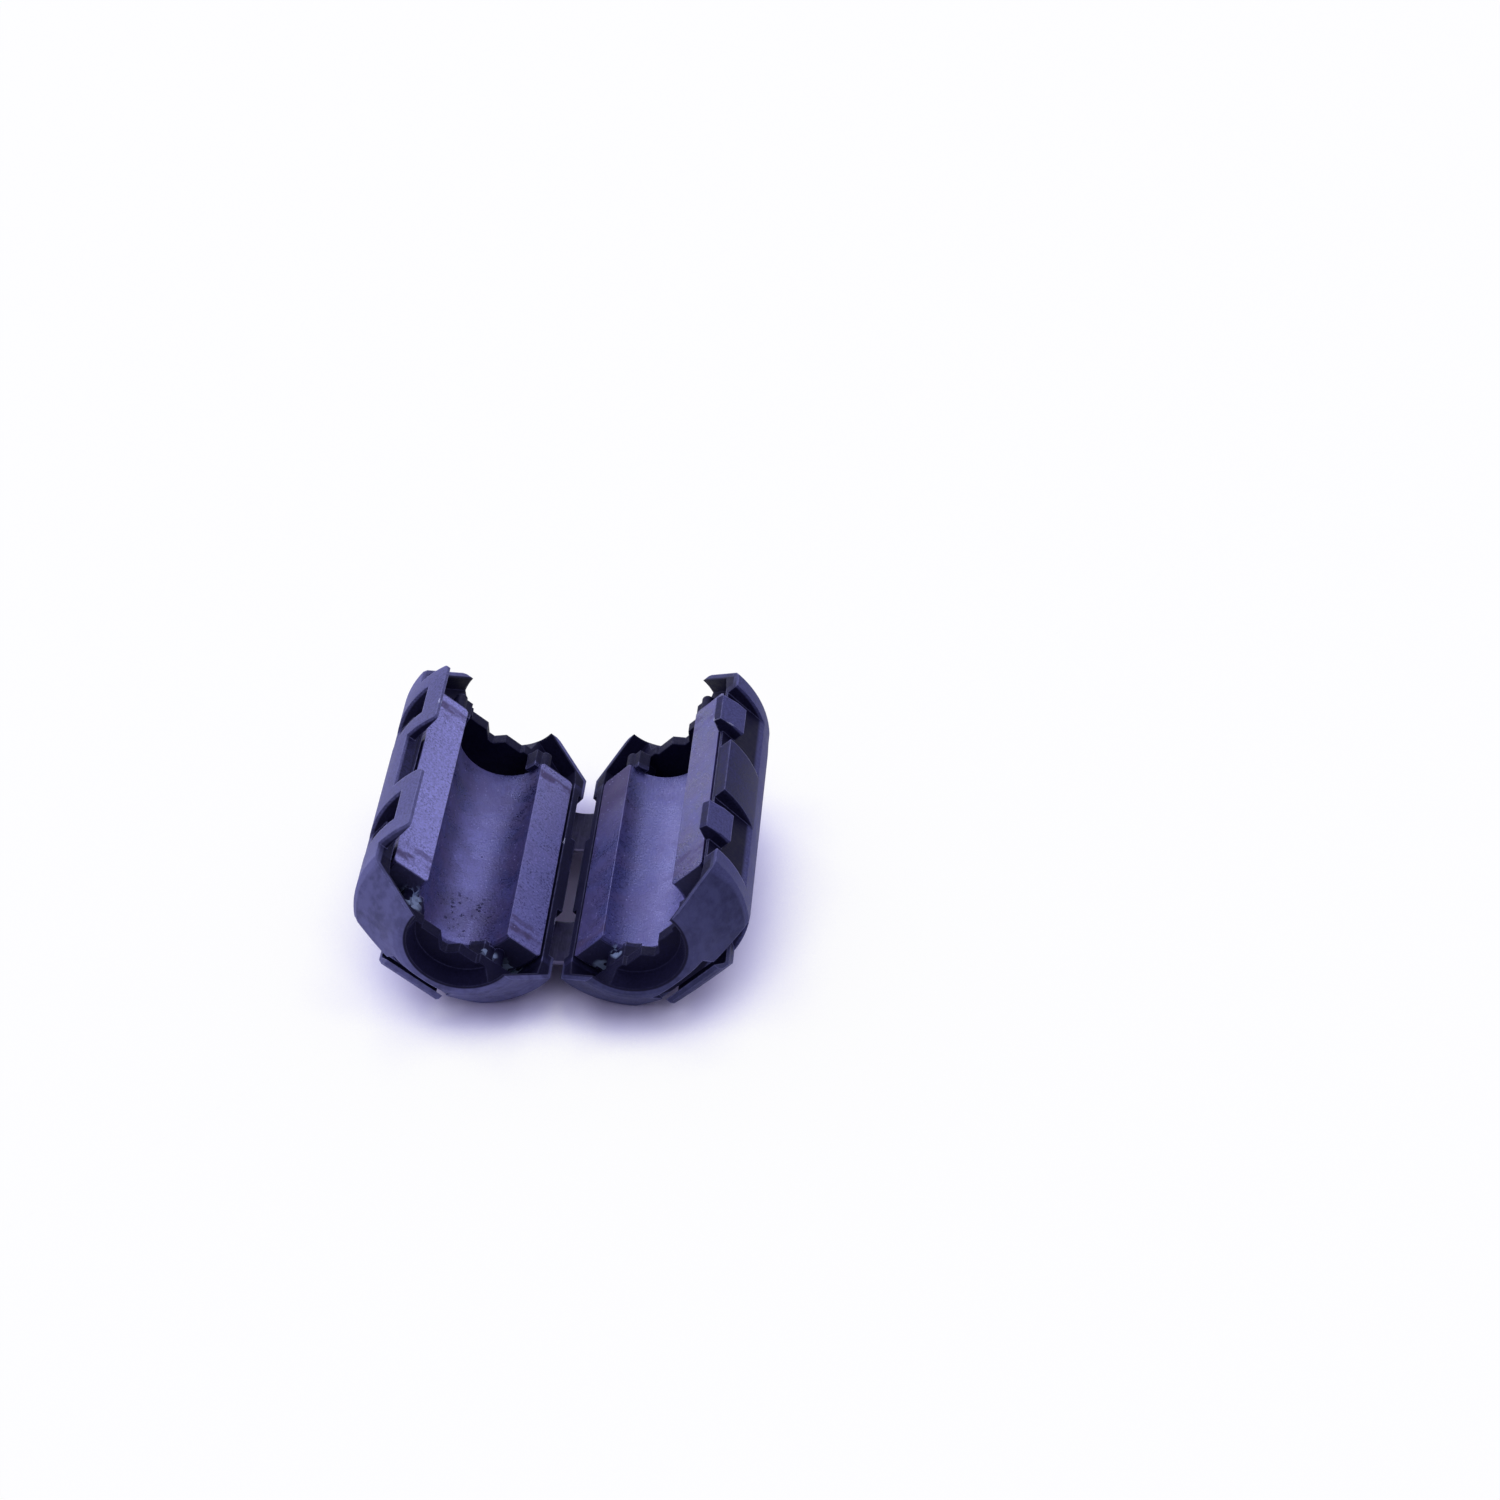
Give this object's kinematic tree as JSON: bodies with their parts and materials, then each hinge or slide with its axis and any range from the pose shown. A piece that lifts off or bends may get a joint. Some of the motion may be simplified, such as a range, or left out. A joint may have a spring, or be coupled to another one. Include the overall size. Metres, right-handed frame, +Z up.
{
  "type": "clip on ferrite bead",
  "caption": "Open clip-on ferrite bead: a black round snap case, hinged on living-hinge straps, holding a ground ferrite half core in each half.",
  "frame": {"origin": "middle of the open clip's footprint, on the plane it rests on", "axes": "+Y along the cable passages, from the near end to the far end; +Z up; +X from the window half to the hook half"},
  "size_m": [0.035, 0.0354, 0.0189],
  "materials": {
    "case": "satin",
    "ferrite": "sintered, ground on the mating faces"
  },
  "bodies": {
    "window_half": {"window_shell": "case", "core_left": "ferrite", "hinge_strap_near": "case", "hinge_strap_far": "case"},
    "hook_half": {"hook_shell": "case", "core_right": "ferrite"}
  },
  "joints": [
    {"name": "case_hinge", "type": "hinge", "parent": "window_half", "child": "hook_half", "pos_m": [0, 0, 0.0031], "axis": [0, 1, 0], "range_deg": [-94.8, 85.2], "deforming": ["hinge_strap_near", "hinge_strap_far"]}
  ]
}
